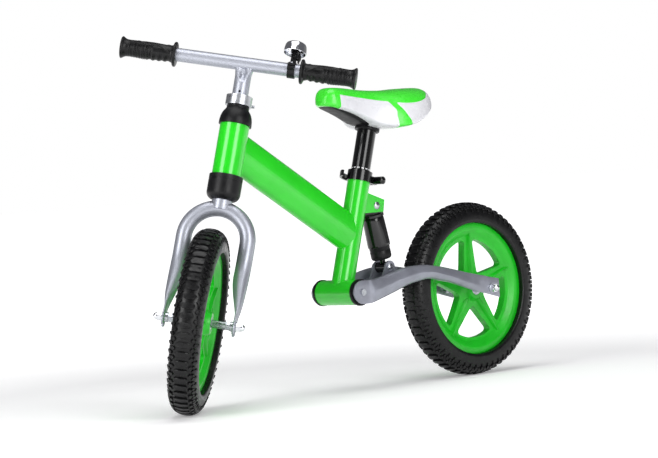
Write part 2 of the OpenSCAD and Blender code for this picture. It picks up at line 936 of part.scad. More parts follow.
// ---------- shock absorber ----------

module shock_cap() {
    color("dimgray") on_shock() difference() {
        union() {
            across() rod(eye_r, -eye_half_w, eye_half_w);
            translate([-eye_r, -eye_half_w, -cover_top]) cube([2 * eye_r, 2 * eye_half_w, cover_top]);
            rod(cover_r, -cover_top - 4, -cover_top);
            rod(guide_r, -58, -cover_top);
        }
        across() rod(shock_bolt_r + run, -20, 20);
        rod(rod_r + run, -60, -cover_top - 6);
    }
}

module shock_cover() {
    color("dimgray") on_shock() ring(cover_r, cover_r - 1.45, -cover_end, -cover_top - 4);
}

module shock_rod() {
    color("dimgray") on_shock() difference() {
        union() {
            rod(rod_r, -shock_len + 5, -cover_top - 6 - shock_travel - 2);
            translate([0, 0, -shock_len]) across() rod(eye_r, -eye_half_w, eye_half_w);
        }
        translate([0, 0, -shock_len]) across() rod(shock_bolt_r + open_eye_play, -20, 20);
    }
}

module shock_boot() {
    color("dimgray") on_shock() difference() {
        rod(boot_r, -boot_end, -cover_end + 8);
        rod(boot_r - 1.6, -boot_end + 3, 0);
        rod(rod_r, -boot_end - cut, 0);
    }
}

// points of a round coil along z, swept by rings of sides points
module coil(mean_r, wire_r, from, to, turns, sides = 8, steps = 20) {
    n = turns * steps;
    points = [for (i = [0 : n]) let (a = i * 360 / steps, z = from + (to - from) * i / n)
        for (j = [0 : sides - 1]) let (b = j * 360 / sides, r = mean_r + wire_r * cos(b))
            [r * cos(a), r * sin(a), z + wire_r * sin(b)]];
    faces = concat(
        [[for (j = [0 : sides - 1]) j]],
        [for (i = [0 : n - 1]) for (j = [0 : sides - 1]) let (k = (j + 1) % sides)
            [i * sides + j, i * sides + sides + j, i * sides + sides + k, i * sides + k]],
        [[for (j = [sides - 1 : -1 : 0]) n * sides + j]]
    );
    polyhedron(points = points, faces = faces, convexity = 10);
}

module shock_spring() {
    color("silver") on_shock()
        coil(guide_r + 4, 1.5, -boot_end + 3 + 1.8, -cover_top - 4 - 1.8, 9);
}

head_tube();
down_tube();
seat_tube();
pivot_shell();
shock_bracket();
shock_upper_bolt();
headset_upper_cup();
headset_lower_cup();
pivot_bushes();
seat_clamp();
seat_clamp_skewer();
quick_release_lever();
quick_release_pin();
seat_post();
saddle_base();
saddle_pad();
saddle_bolt();
steerer_tube();
fork();
crown_collar();
front_axle();
front_sleeves();
front_lock_nuts();
front_washers();
front_cap_nuts();
stem_clamp();
stem_clamp_bolt();
stem();
handlebar_tube();
grip_left();
grip_right();
bell_bracket();
bell_dome();
bell_screws();
bell_hammer();
front_tyre();
front_rim();
front_bearings();
swing_arm_left();
swing_arm_right();
swing_bridge();
pivot_axle();
pivot_bolts();
rear_axle();
rear_sleeves();
rear_lock_nuts();
rear_washers();
rear_cap_nuts();
shock_lower_bolt();
rear_tyre();
rear_rim();
rear_bearings();
shock_cap();
shock_cover();
shock_rod();
shock_boot();
shock_spring();
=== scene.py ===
import json
from math import atan2, cos, pi, radians, sin, sqrt

import bpy
from mathutils import Matrix, Vector


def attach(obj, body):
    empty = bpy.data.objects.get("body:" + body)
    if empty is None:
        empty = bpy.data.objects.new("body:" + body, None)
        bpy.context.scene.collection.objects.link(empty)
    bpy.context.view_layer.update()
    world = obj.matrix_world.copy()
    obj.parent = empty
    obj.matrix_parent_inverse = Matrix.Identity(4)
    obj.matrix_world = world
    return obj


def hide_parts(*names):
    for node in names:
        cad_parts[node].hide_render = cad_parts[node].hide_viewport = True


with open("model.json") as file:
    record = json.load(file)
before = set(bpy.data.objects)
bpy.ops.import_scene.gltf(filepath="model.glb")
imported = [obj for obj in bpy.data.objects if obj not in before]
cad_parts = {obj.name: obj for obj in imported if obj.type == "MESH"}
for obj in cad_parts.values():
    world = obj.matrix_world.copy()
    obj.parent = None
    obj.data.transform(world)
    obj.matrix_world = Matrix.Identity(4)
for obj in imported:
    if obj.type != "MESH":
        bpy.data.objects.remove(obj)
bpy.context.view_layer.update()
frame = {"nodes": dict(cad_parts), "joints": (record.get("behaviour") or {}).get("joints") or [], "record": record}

mm = 0.001
bpy.ops.object.select_all(action="DESELECT")
joints = {joint["name"]: joint for joint in frame["joints"]}
print("frame loaded:", len(frame["nodes"]), "nodes")


# every piece is made in millimetres in its own axes, then set down with one of the places below

def jointPlace(name):
    return Vector(joints[name]["pos_m"])


def jointAxis(name):
    return Vector(joints[name]["axis"]).normalized()


def axesAt(origin, forward, left, up):
    place = Matrix((forward, left, up)).transposed().to_4x4()
    place.translation = origin
    return place @ Matrix.Scale(mm, 4)


headLow = 236             # the lower end of the head tube above the axle height, along the steering axis
steerUp = jointAxis("steering_turn")
barLeft = jointAxis("front_wheel_spin")
steerForward = barLeft.cross(steerUp)
steered = axesAt(jointPlace("steering_turn") - steerUp * headLow * mm, steerForward, barLeft, steerUp)
frontHub = axesAt(jointPlace("front_wheel_spin"), steerForward, barLeft, steerUp)
rearHub = axesAt(jointPlace("rear_wheel_spin"), Vector((1, 0, 0)), Vector((0, 1, 0)), Vector((0, 0, 1)))
rearAxle = jointPlace("rear_wheel_spin")
bike = axesAt(Vector((rearAxle.x, rearAxle.y, 0)), Vector((1, 0, 0)), Vector((0, 1, 0)), Vector((0, 0, 1)))
tubeUp = jointAxis("saddle_height")
seatTube = axesAt(jointPlace("suspension"), Vector((0, 1, 0)).cross(tubeUp), Vector((0, 1, 0)), tubeUp)
shockUp = jointAxis("shock_stroke")
shock = axesAt(jointPlace("shock_swivel"), Vector((0, 1, 0)).cross(shockUp), Vector((0, 1, 0)), shockUp)


def activate(obj):
    bpy.ops.object.select_all(action="DESELECT")
    obj.select_set(True)
    bpy.context.view_layer.objects.active = obj


def inEdit(obj, action):
    activate(obj)
    bpy.ops.object.mode_set(mode="EDIT")
    action()
    bpy.ops.object.mode_set(mode="OBJECT")


def setDown(obj, place, smooth=35):
    # puts the piece in its place, with the place in its mesh, and shades it
    activate(obj)
    obj.matrix_world = place @ obj.matrix_world
    bpy.ops.object.transform_apply(location=True, rotation=True, scale=True)
    inEdit(obj, lambda: (bpy.ops.mesh.select_all(action="SELECT"),
                         bpy.ops.mesh.normals_make_consistent(inside=False)))
    bpy.ops.object.shade_smooth_by_angle(angle=radians(smooth))


def finishPiece(obj, name, body, material, slot, *replaced):
    obj.name = name
    obj.data.materials.clear()
    obj.data.materials.append(material)
    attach(obj, body)
    if replaced:
        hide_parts(*replaced)


def joinPieces(pieces):
    bpy.ops.object.select_all(action="DESELECT")
    for piece in pieces:
        piece.select_set(True)
    bpy.context.view_layer.objects.active = pieces[0]
    bpy.ops.object.join()
    return pieces[0]


def copyOf(obj):
    twin = obj.copy()
    twin.data = obj.data.copy()
    bpy.context.collection.objects.link(twin)
    return twin


def useModifier(obj, kind, **settings):
    activate(obj)
    modifier = obj.modifiers.new(kind, kind)
    for key, value in settings.items():
        setattr(modifier, key, value)
    bpy.ops.object.modifier_apply(modifier=modifier.name)


def turned(steps, segments=64):
    # a turned part: a circle drawn up its axis (z), resized through (radius, height) and closed on itself
    radius, height = steps[0]
    bpy.ops.object.select_all(action="DESELECT")
    bpy.ops.mesh.primitive_circle_add(vertices=segments, radius=radius, location=(0, 0, height))
    obj = bpy.context.object
    bpy.ops.object.transform_apply(location=True)
    bpy.ops.object.mode_set(mode="EDIT")
    bpy.ops.mesh.select_all(action="SELECT")
    for (oldRadius, oldHeight), (radius, height) in zip(steps, steps[1:]):
        bpy.ops.mesh.extrude_region_move(TRANSFORM_OT_translate={"value": (0, 0, height - oldHeight)})
        grow = radius / oldRadius
        bpy.ops.transform.resize(value=(grow, grow, 1), center_override=(0, 0, height))
    bpy.ops.mesh.select_all(action="SELECT")
    bpy.ops.mesh.remove_doubles(threshold=0.001)
    bpy.ops.mesh.normals_make_consistent(inside=False)
    bpy.ops.object.mode_set(mode="OBJECT")
    return obj


def skinned(rings):
    # a skin over closed sections of equal point count: a grid rolled up along them, seam merged, ends filled
    around = len(rings[0])
    bpy.ops.object.select_all(action="DESELECT")
    bpy.ops.mesh.primitive_grid_add(x_subdivisions=around, y_subdivisions=len(rings) - 1, size=1)
    obj = bpy.context.object
    flat = []
    for ring in rings:
        for point in list(ring) + [ring[0]]:
            flat.extend(point)
    obj.data.vertices.foreach_set("co", flat)
    obj.data.update()
    bpy.ops.object.mode_set(mode="EDIT")
    bpy.ops.mesh.select_all(action="SELECT")
    bpy.ops.mesh.remove_doubles(threshold=0.0005)
    bpy.ops.mesh.fill_holes(sides=0)
    bpy.ops.mesh.normals_make_consistent(inside=False)
    bpy.ops.object.mode_set(mode="OBJECT")
    return obj


def between(table, at):
    # a smooth value between the rows of a table of (place, value, value, ...)
    rows = sorted(table)
    if at <= rows[0][0]:
        return rows[0][1:]
    if at >= rows[-1][0]:
        return rows[-1][1:]
    k = max(i for i in range(len(rows) - 1) if rows[i][0] <= at)
    first, last = rows[max(k - 1, 0)], rows[min(k + 2, len(rows) - 1)]
    low, high = rows[k], rows[k + 1]
    t = (at - low[0]) / (high[0] - low[0])
    out = []
    for c in range(1, len(low)):
        startSlope = (high[c] - first[c]) / (high[0] - first[0]) * (high[0] - low[0])
        endSlope = (last[c] - low[c]) / (last[0] - low[0]) * (high[0] - low[0])
        a = 2 * low[c] - 2 * high[c] + startSlope + endSlope
        b = -3 * low[c] + 3 * high[c] - 2 * startSlope - endSlope
        out.append(((a * t + b) * t + startSlope) * t + low[c])
    return tuple(out)


def ovalRing(centre, across, along, halfWidth, halfHeight, count=32, power=2.0):
    ring = []
    for k in range(count):
        angle = 2 * pi * k / count
        c, s = cos(angle), sin(angle)
        u = halfWidth * abs(c) ** (2 / power) * (1 if c >= 0 else -1)
        v = halfHeight * abs(s) ** (2 / power) * (1 if s >= 0 else -1)
        ring.append(centre + across * u + along * v)
    return ring


def hexColour(code):
    channels = [int(code[k:k + 2], 16) / 255 for k in (1, 3, 5)]
    linear = [c / 12.92 if c <= 0.04045 else ((c + 0.055) / 1.055) ** 2.4 for c in channels]
    return (*linear, 1)


def addNode(tree, kind, settings=None, links=None):
    node = tree.nodes.new("ShaderNode" + kind)
    for key, value in (settings or {}).items():
        if isinstance(key, str) and hasattr(node, key):
            setattr(node, key, value)
        else:
            node.inputs[key].default_value = value
    for key, source in (links or {}).items():
        tree.links.new(source, node.inputs[key])
    return node


def newMaterial(name, look):
    material = bpy.data.materials.new(name)
    material.use_nodes = True
    tree = material.node_tree
    shader = tree.nodes["Principled BSDF"]
    for socket, value in look.items():
        shader.inputs[socket].default_value = value
    coord = addNode(tree, "TexCoord")
    return material, tree, shader, coord.outputs["Object"]


def twoTone(tree, shader, where, colours, sizeMm, sharp=0.5):
    # slow drift between two close colours, over patches of a real size
    patches = addNode(tree, "TexNoise", {"Scale": 1000 / sizeMm, "Detail": 3.0, "Roughness": sharp},
                      {"Vector": where})
    ramp = addNode(tree, "ValToRGB", {}, {"Fac": patches.outputs["Fac"]})
    ramp.color_ramp.elements[0].position = 0.36
    ramp.color_ramp.elements[1].position = 0.64
    ramp.color_ramp.elements[0].color = hexColour(colours[0])
    ramp.color_ramp.elements[1].color = hexColour(colours[1])
    tree.links.new(ramp.outputs["Color"], shader.inputs["Base Color"])


def unevenGloss(tree, shader, where, low, high, sizeMm):
    patches = addNode(tree, "TexNoise", {"Scale": 1000 / sizeMm, "Detail": 4.0}, {"Vector": where})
    spread = addNode(tree, "MapRange", {"From Min": 0.3, "From Max": 0.7, "To Min": low, "To Max": high},
                     {"Value": patches.outputs["Fac"]})
    tree.links.new(spread.outputs["Result"], shader.inputs["Roughness"])


def grainBump(tree, shader, where, sizeMm, depthMm, strength=1.0, kind="noise", stretch=None):
    if stretch:
        where = addNode(tree, "Mapping", {"Scale": stretch}, {"Vector": where}).outputs["Vector"]
    if kind == "noise":
        grain = addNode(tree, "TexNoise", {"Scale": 1000 / sizeMm, "Detail": 2.0}, {"Vector": where})
        height = grain.outputs["Fac"]
    else:
        grain = addNode(tree, "TexVoronoi", {"Scale": 1000 / sizeMm, "feature": "SMOOTH_F1"},
                        {"Vector": where})
        height = grain.outputs["Distance"]
    bump = addNode(tree, "Bump", {"Strength": strength, "Distance": depthMm * mm}, {"Height": height})
    tree.links.new(bump.outputs["Normal"], shader.inputs["Normal"])


# gloss enamel, sprayed over steel tube and baked: clean saturated green under a hard clear skin
frameEnamel, tree, shader, where = newMaterial("frameEnamel", {
    "Roughness": 0.3, "Coat Weight": 0.7, "Coat Roughness": 0.06, "Specular IOR Level": 0.5})
twoTone(tree, shader, where, ("#14c40c", "#1bcc12"), 60)
grainBump(tree, shader, where, 3.0, 0.01, 0.2)             # orange peel, 1 mm on the real tube, drawn at 3 mm

# glass-filled nylon, injection moulded: a duller green with flow marks and a fine eroded texture
wheelNylon, tree, shader, where = newMaterial("wheelNylon", {"Coat Weight": 0.15, "Coat Roughness": 0.25})
twoTone(tree, shader, where, ("#08b412", "#0fc01a"), 35)
unevenGloss(tree, shader, where, 0.32, 0.46, 12)
grainBump(tree, shader, where, 1.6, 0.03, 0.5)

# silver lacquer with aluminium flake, under clear coat: the flakes break up the light
silverLacquer, tree, shader, where = newMaterial("silverLacquer", {
    "Metallic": 0.75, "Roughness": 0.42, "Coat Weight": 0.25, "Coat Roughness": 0.25})
flakes = addNode(tree, "TexVoronoi", {"Scale": 1000 / 1.2}, {"Vector": where})
flakeRamp = addNode(tree, "ValToRGB", {}, {"Fac": flakes.outputs["Color"]})
flakeRamp.color_ramp.elements[0].color = hexColour("#a2a5af")
flakeRamp.color_ramp.elements[1].color = hexColour("#b6b9c3")
tree.links.new(flakeRamp.outputs["Color"], shader.inputs["Base Color"])
grainBump(tree, shader, where, 1.2, 0.005, 0.15, "cells")

# grey metallic lacquer on pressed steel: darker, a little violet, slightly uneven from the spray
armLacquer, tree, shader, where = newMaterial("armLacquer", {
    "Metallic": 0.6, "Coat Weight": 0.4, "Coat Roughness": 0.15})
twoTone(tree, shader, where, ("#8e909b", "#9c9eaa"), 30)
unevenGloss(tree, shader, where, 0.32, 0.42, 20)
grainBump(tree, shader, where, 1.4, 0.012, 0.3, "cells")

# ABS, moulded in an eroded tool: satin black with a fine even grain
mouldedAbs, tree, shader, where = newMaterial("mouldedAbs", {"Specular IOR Level": 0.28})
twoTone(tree, shader, where, ("#08080a", "#0e0e10"), 18)
unevenGloss(tree, shader, where, 0.34, 0.48, 9)
grainBump(tree, shader, where, 1.5, 0.03, 0.5)

# gloss black enamel on steel tube: glossy, with a faint orange peel
blackEnamel, tree, shader, where = newMaterial("blackEnamel", {
    "Roughness": 0.2, "Specular IOR Level": 0.3, "Coat Weight": 0.5, "Coat Roughness": 0.04})
twoTone(tree, shader, where, ("#040405", "#08080a"), 40)
grainBump(tree, shader, where, 3.0, 0.006, 0.15)

# the same enamel on the seat post, with the ring of printed dashes that marks its lowest hold
postEnamel, tree, shader, where = newMaterial("postEnamel", {
    "Roughness": 0.2, "Specular IOR Level": 0.3, "Coat Weight": 0.5, "Coat Roughness": 0.04})
tubeTurn = tubeUp.to_track_quat("Z", "Y").to_euler()
local = addNode(tree, "Mapping", {"vector_type": "TEXTURE", "Location": jointPlace("suspension"),
                                  "Rotation": tubeTurn}, {"Vector": where})
split = addNode(tree, "SeparateXYZ", {}, {"Vector": local.outputs["Vector"]})
band = addNode(tree, "Math", {"operation": "COMPARE", 1: 0.2128, 2: 0.0009}, {0: split.outputs["Z"]})
turn = addNode(tree, "Math", {"operation": "ARCTAN2"}, {0: split.outputs["Y"], 1: split.outputs["X"]})
steps = addNode(tree, "Math", {"operation": "MULTIPLY", 1: 14 / (2 * pi)}, {0: turn.outputs["Value"]})
share = addNode(tree, "Math", {"operation": "FRACT"}, {0: steps.outputs["Value"]})
dash = addNode(tree, "Math", {"operation": "GREATER_THAN", 1: 0.45}, {0: share.outputs["Value"]})
mark = addNode(tree, "Math", {"operation": "MULTIPLY"}, {0: band.outputs["Value"], 1: dash.outputs["Value"]})
paint = addNode(tree, "MixRGB", {"Color1": hexColour("#050506"), "Color2": hexColour("#d9dadc")},
                {"Fac": mark.outputs["Value"]})
tree.links.new(paint.outputs["Color"], shader.inputs["Base Color"])
grainBump(tree, shader, where, 3.0, 0.006, 0.15)

# thermoplastic rubber, moulded: soft black that scatters the light a little
gripRubber, tree, shader, where = newMaterial("gripRubber", {
    "Specular IOR Level": 0.25, "Sheen Weight": 0.03})
twoTone(tree, shader, where, ("#070708", "#0d0d0e"), 14)
unevenGloss(tree, shader, where, 0.28, 0.42, 7)
grainBump(tree, shader, where, 1.2, 0.012, 0.2)

# EVA foam, moulded with a closed skin: satin charcoal, pitted, a little uneven
tyreFoam, tree, shader, where = newMaterial("tyreFoam", {"Specular IOR Level": 0.32})
twoTone(tree, shader, where, ("#060607", "#101011"), 10, 0.7)
unevenGloss(tree, shader, where, 0.24, 0.42, 8)
grainBump(tree, shader, where, 1.8, 0.1, 0.5)

# zinc plated steel, turned and rolled: bright grey with fine lines and uneven lustre
zincSteel, tree, shader, where = newMaterial("zincSteel", {"Metallic": 1.0})
twoTone(tree, shader, where, ("#a9adb4", "#c9ccd1"), 5)
unevenGloss(tree, shader, where, 0.22, 0.38, 4)
grainBump(tree, shader, where, 1.5, 0.01, 0.4, stretch=(1, 6, 1))

# nickel-chrome plate over a polished nut: a clean mirror with the odd soft spot
chromePlate, tree, shader, where = newMaterial("chromePlate", {"Metallic": 1.0})
twoTone(tree, shader, where, ("#dfe1e6", "#f0f1f4"), 8)
unevenGloss(tree, shader, where, 0.06, 0.14, 6)
grainBump(tree, shader, where, 4.0, 0.01, 0.2)

# cast and tumbled aluminium: pale, soft lustre, slightly pebbled
castAluminium, tree, shader, where = newMaterial("castAluminium", {"Metallic": 1.0})
twoTone(tree, shader, where, ("#bfc2c7", "#d2d4d8"), 7)
unevenGloss(tree, shader, where, 0.26, 0.4, 5)
grainBump(tree, shader, where, 1.6, 0.03, 0.4)

# spring wire, drawn and oiled: mid grey with lines along the wire
springWire, tree, shader, where = newMaterial("springWire", {"Metallic": 1.0})
twoTone(tree, shader, where, ("#85878c", "#a0a3a8"), 6)
unevenGloss(tree, shader, where, 0.3, 0.45, 5)
grainBump(tree, shader, where, 1.2, 0.02, 0.4, stretch=(1, 1, 8))

# PVC-coated cloth, vacuum formed over foam: gloss green and white panels with a leather print,
# and a pressed line where the colours meet ("panel" is the distance from that line, in millimetres)
saddleVinyl, tree, shader, where = newMaterial("saddleVinyl", {
    "Coat Weight": 0.35, "Coat Roughness": 0.12, "Specular IOR Level": 0.5})
edge = addNode(tree, "Attribute", {"attribute_name": "panel"})
side = addNode(tree, "MapRange", {"From Min": -0.4, "From Max": 0.4}, {"Value": edge.outputs["Fac"]})
clouds = addNode(tree, "TexNoise", {"Scale": 1000 / 25, "Detail": 3.0}, {"Vector": where})
green = addNode(tree, "MixRGB", {"Color1": hexColour("#34d425"), "Color2": hexColour("#42de34")},
                {"Fac": clouds.outputs["Fac"]})
white = addNode(tree, "MixRGB", {"Color1": hexColour("#cfcfd4"), "Color2": hexColour("#d9d9dd")},
                {"Fac": clouds.outputs["Fac"]})
panels = addNode(tree, "MixRGB", {}, {"Fac": side.outputs["Result"], "Color1": white.outputs["Color"],
                                      "Color2": green.outputs["Color"]})
tree.links.new(panels.outputs["Color"], shader.inputs["Base Color"])
unevenGloss(tree, shader, where, 0.24, 0.34, 10)
cell = addNode(tree, "TexVoronoi", {"Scale": 1000 / 1.6, "feature": "SMOOTH_F1"}, {"Vector": where})
printBump = addNode(tree, "Bump", {"Strength": 0.08, "Distance": 0.02 * mm},
                    {"Height": cell.outputs["Distance"]})
away = addNode(tree, "Math", {"operation": "ABSOLUTE"}, {0: edge.outputs["Fac"]})
groove = addNode(tree, "MapRange", {"From Min": 0.0, "From Max": 1.4, "interpolation_type": "SMOOTHSTEP"},
                 {"Value": away.outputs["Value"]})
seamBump = addNode(tree, "Bump", {"Strength": 0.7, "Distance": 0.5 * mm},
                   {"Height": groove.outputs["Result"], "Normal": printBump.outputs["Normal"]})
tree.links.new(seamBump.outputs["Normal"], shader.inputs["Normal"])

slotFinish = {
    "frame_paint": frameEnamel, "black_plastic": mouldedAbs, "black_paint": blackEnamel,
    "zinc_steel": zincSteel, "chrome_nut": chromePlate, "silver_paint": silverLacquer,
    "clamp_aluminium": castAluminium, "arm_paint": armLacquer, "grip_rubber": gripRubber,
    "tyre_foam": tyreFoam, "wheel_plastic": wheelNylon, "saddle_vinyl": saddleVinyl,
    "spring_steel": springWire}
nodeSlot = {part["node"]: part["material_slot"] for part in frame["record"]["subparts"]}
for node, obj in frame["nodes"].items():
    for k in range(len(obj.data.materials)):
        obj.data.materials[k] = slotFinish[nodeSlot[node]]
frame["nodes"]["seat_post"].data.materials[0] = postEnamel
print("finishes mixed:", len(bpy.data.materials))


# tyres: a smooth foam carcass with rows of tread blocks, bent round its section
tyre = {"crown": 120, "halfWidth": 24, "carcass": 27, "blocks": 60}


def tyreSide(along):
    # the tyre's section by distance from the middle of the tread: place across, radius, and the way out
    angle = along / tyre["carcass"]
    power = 2.35
    c, s = max(cos(angle), 0.0), sin(abs(angle))
    across = tyre["halfWidth"] * s ** (2 / power)
    radius = tyre["crown"] + tyre["carcass"] * c ** (2 / power)
    normal = Vector((across / tyre["halfWidth"] ** 1.6, (radius - tyre["crown"]) / tyre["carcass"] ** 1.6))
    normal.normalize()
    return (across if along >= 0 else -across), radius, (normal.x if along >= 0 else -normal.x), normal.y


def makeTyre():
    steps = []
    count = 18
    for k in range(-count, count + 1):
        across, radius, _, _ = tyreSide(k / count * tyre["carcass"] * pi / 2)
        steps.append((radius, across))
    beadIn = [(118, 24.0), (115.5, 23.4), (114.2, 22.2), (114.0, 20.5), (114.0, 12)]
    steps = [(r, -y) for r, y in reversed(beadIn)] + steps + beadIn
    steps.append(steps[0])
    body = turned(steps, 144)
    blocks = [
        {"along": 0, "around": 0.0, "long": 9.2, "wide": 21.0, "point": 3.0, "deep": 3.0},
        {"along": 15.2, "around": 0.5, "long": 10.5, "wide": 7.6, "point": 1.3, "deep": 2.9},
        {"along": 21.8, "around": 0.5, "long": 5.4, "wide": 5.6, "point": 3.0, "deep": 2.7},
        {"along": 22.6, "around": 0.0, "long": 6.2, "wide": 9.0, "point": 2.4, "deep": 2.7},
        {"along": 29.6, "around": 0.0, "long": 4.4, "wide": 4.6, "point": 3.4, "deep": 2.2}]
    pitch = 2 * pi / tyre["blocks"]
    pieces = [body]
    for block in blocks:
        for hand in ((1,) if block["along"] == 0 else (1, -1)):
            bpy.ops.object.select_all(action="DESELECT")
            bpy.ops.mesh.primitive_circle_add(vertices=14, radius=0.5, fill_type="TRIFAN")
            obj = bpy.context.object
            bpy.ops.object.mode_set(mode="EDIT")
            bpy.ops.mesh.select_all(action="SELECT")
            bpy.ops.mesh.extrude_region_move(TRANSFORM_OT_translate={"value": (0, 0, 0.82)})
            bpy.ops.mesh.extrude_region_move(TRANSFORM_OT_translate={"value": (0, 0, 0.18)})
            bpy.ops.transform.resize(value=(0.86, 0.86, 1), center_override=(0, 0, 1))
            bpy.ops.object.mode_set(mode="OBJECT")
            for vertex in obj.data.vertices:       # squared up, then bent round the tyre's section
                x, y, z = vertex.co
                reach = sqrt(x * x + y * y)
                c, s = (x / reach, y / reach) if reach > 0.001 else (1, 0)
                square = reach / (abs(c) ** block["point"] + abs(s) ** block["point"]) ** (1 / block["point"])
                u, v = c * square * block["long"], s * square * block["wide"]
                if block["point"] < 2:             # arrow blocks: narrow towards the middle of the tread
                    u *= 0.72 + 0.06 * v
                across, radius, outX, outR = tyreSide(hand * (block["along"] + v))
                lift = z * block["deep"] - 0.4 * (1 - z)
                radius += outR * lift
                across += outX * lift
                angle = block["around"] * pitch + u / (tyre["crown"] + tyre["carcass"])
                vertex.co = (sin(angle) * radius, cos(angle) * radius, across)
            inEdit(obj, lambda: (bpy.ops.mesh.select_all(action="SELECT"),
                                 bpy.ops.mesh.normals_make_consistent(inside=False)))
            for k in range(1, tyre["blocks"]):
                twin = copyOf(obj)
                twin.matrix_world = Matrix.Rotation(k * pitch, 4, "Z")
                pieces.append(twin)
            pieces.append(obj)
    obj = joinPieces(pieces)
    obj.matrix_world = Matrix.Rotation(radians(-90), 4, "X")     # the axle runs along y
    bpy.ops.object.transform_apply(location=True, rotation=True, scale=True)
    return obj


# wheels: a moulded disc with five windows, their edges rounded, and a roof-shaped ridge on each spoke
rim = {"web": 7.0, "spokes": 5, "spokeAtHub": 31, "spokeAtRim": 18.5, "windowLow": 28.6, "windowTop": 86.3,
       "cornerAt": 84.9, "cornerRound": 7.5, "edgeRound": 1.3, "frontTurn": 100}


def makeRim():
    half = [(9.0, 0), (9.0, 12.4), (11.0, 12.5), (11.0, 19.6), (11.6, 20), (16.4, 20), (17.6, 19.4),
            (18.6, 17.5), (20.0, 14.0), (22.5, 10.6), (26.5, 8.2), (32, 7.2), (40, rim["web"]),
            (64, rim["web"]), (88, rim["web"]), (91.5, 7.6), (93, 8.8), (99.6, 13.6), (101.4, 14.7),
            (103, 15), (112.6, 15), (113.7, 14.5), (114, 13.4), (114, 0)]
    outline = half + [(r, -y) for r, y in reversed(half[1:-1])]
    outline.append(outline[0])
    wheel = turned(outline, 120)

    def spokeEdge(s, hand):
        k = (s - 30) / (rim["windowTop"] - 30)
        wide = rim["spokeAtHub"] + (rim["spokeAtRim"] - rim["spokeAtHub"]) * k
        a = pi / rim["spokes"]
        return (hand * (s * sin(a) - wide / 2 * cos(a)), s * cos(a) + wide / 2 * sin(a))
    corner = spokeEdge(rim["cornerAt"], 1)
    reach = sqrt(corner[0] ** 2 + corner[1] ** 2)
    spread = atan2(corner[0], corner[1])
    outline = [(0, rim["windowLow"])] + [spokeEdge(s, 1) for s in (45, 65)]
    outline += [(reach * sin(spread * k / 6), reach * cos(spread * k / 6)) for k in range(6, -7, -1)]
    outline += [spokeEdge(s, -1) for s in (65, 45)]
    bpy.ops.object.select_all(action="DESELECT")
    bpy.ops.mesh.primitive_circle_add(vertices=len(outline), radius=1, fill_type="NGON", location=(0, 0, 0))
    window = bpy.context.object
    for vertex, point in zip(window.data.vertices, outline):
        vertex.co = (*point, -30)
    bpy.ops.object.mode_set(mode="EDIT")
    bpy.ops.mesh.select_all(action="SELECT")
    bpy.ops.mesh.extrude_region_move(TRANSFORM_OT_translate={"value": (0, 0, 60)})
    bpy.ops.object.mode_set(mode="OBJECT")
    corners = [outline[0], corner, (-corner[0], corner[1])]
    for edge in window.data.edges:
        edge.select = False
    for polygon in window.data.polygons:
        polygon.select = False
    for vertex in window.data.vertices:
        vertex.select = any((vertex.co.xy - Vector(c)).length < 0.01 for c in corners)
    bpy.ops.object.mode_set(mode="EDIT")
    bpy.ops.mesh.select_mode(type="EDGE")
    bpy.ops.mesh.bevel(offset=rim["cornerRound"], segments=5, profile=0.5, affect="EDGES", clamp_overlap=True)
    bpy.ops.mesh.select_all(action="SELECT")
    bpy.ops.mesh.normals_make_consistent(inside=False)
    bpy.ops.mesh.select_mode(type="VERT")
    bpy.ops.object.mode_set(mode="OBJECT")
    windows = [window]
    for k in range(1, rim["spokes"]):
        twin = copyOf(window)
        twin.matrix_world = Matrix.Rotation(k * 2 * pi / rim["spokes"], 4, "Z")
        windows.append(twin)
    cutter = joinPieces(windows)
    useModifier(wheel, "BOOLEAN", operation="DIFFERENCE", object=cutter, solver="EXACT")
    bpy.data.objects.remove(cutter)
    useModifier(wheel, "BEVEL", width=rim["edgeRound"], segments=3, limit_method="ANGLE",
                angle_limit=radians(50))

    ridges = [wheel]
    for face in (1, -1):
        for k in range(rim["spokes"]):
            bpy.ops.mesh.primitive_cube_add(size=1, location=(0, 58, face * 7.0), scale=(14, 80, 8.4))
            ridge = bpy.context.object
            bpy.ops.object.transform_apply(location=True, rotation=False, scale=True)
            for vertex in ridge.data.vertices:     # a roof: broad in the web, a blunt line at the top
                if vertex.co.z * face > 8:
                    vertex.co.x *= 0.16
                    if vertex.co.y < 40:
                        vertex.co.z += face * 2.2
                if vertex.co.y > 60:
                    vertex.co.x *= 0.72
            useModifier(ridge, "BEVEL", width=0.8, segments=2, limit_method="ANGLE", angle_limit=radians(20))
            turn = Matrix.Rotation((k + 0.5) * 2 * pi / rim["spokes"], 4, "Z")
            ridge.matrix_world = turn @ ridge.matrix_world
            ridges.append(ridge)
    obj = joinPieces(ridges)
    activate(obj)
    bpy.ops.object.transform_apply(location=True, rotation=True, scale=True)
    obj.matrix_world = Matrix.Rotation(radians(-90), 4, "X")
    bpy.ops.object.transform_apply(location=True, rotation=True, scale=True)
    return obj


rearTyre = makeTyre()
frontTyre = copyOf(rearTyre)
setDown(rearTyre, rearHub)
finishPiece(rearTyre, "rearTyre", "rear_wheel", tyreFoam, "tyre_foam", "rear_tyre")
setDown(frontTyre, frontHub)
finishPiece(frontTyre, "frontTyre", "front_wheel", tyreFoam, "tyre_foam", "front_tyre")
print("tyres moulded")
rearRim = makeRim()
frontRim = copyOf(rearRim)
frontRim.matrix_world = Matrix.Rotation(radians(rim["frontTurn"]), 4, "Y")
activate(frontRim)
bpy.ops.object.transform_apply(location=True, rotation=True, scale=True)
setDown(rearRim, rearHub, 30)
finishPiece(rearRim, "rearRim", "rear_wheel", wheelNylon, "wheel_plastic", "rear_rim")
setDown(frontRim, frontHub, 30)
finishPiece(frontRim, "frontRim", "front_wheel", wheelNylon, "wheel_plastic", "front_rim")
print("wheels moulded")


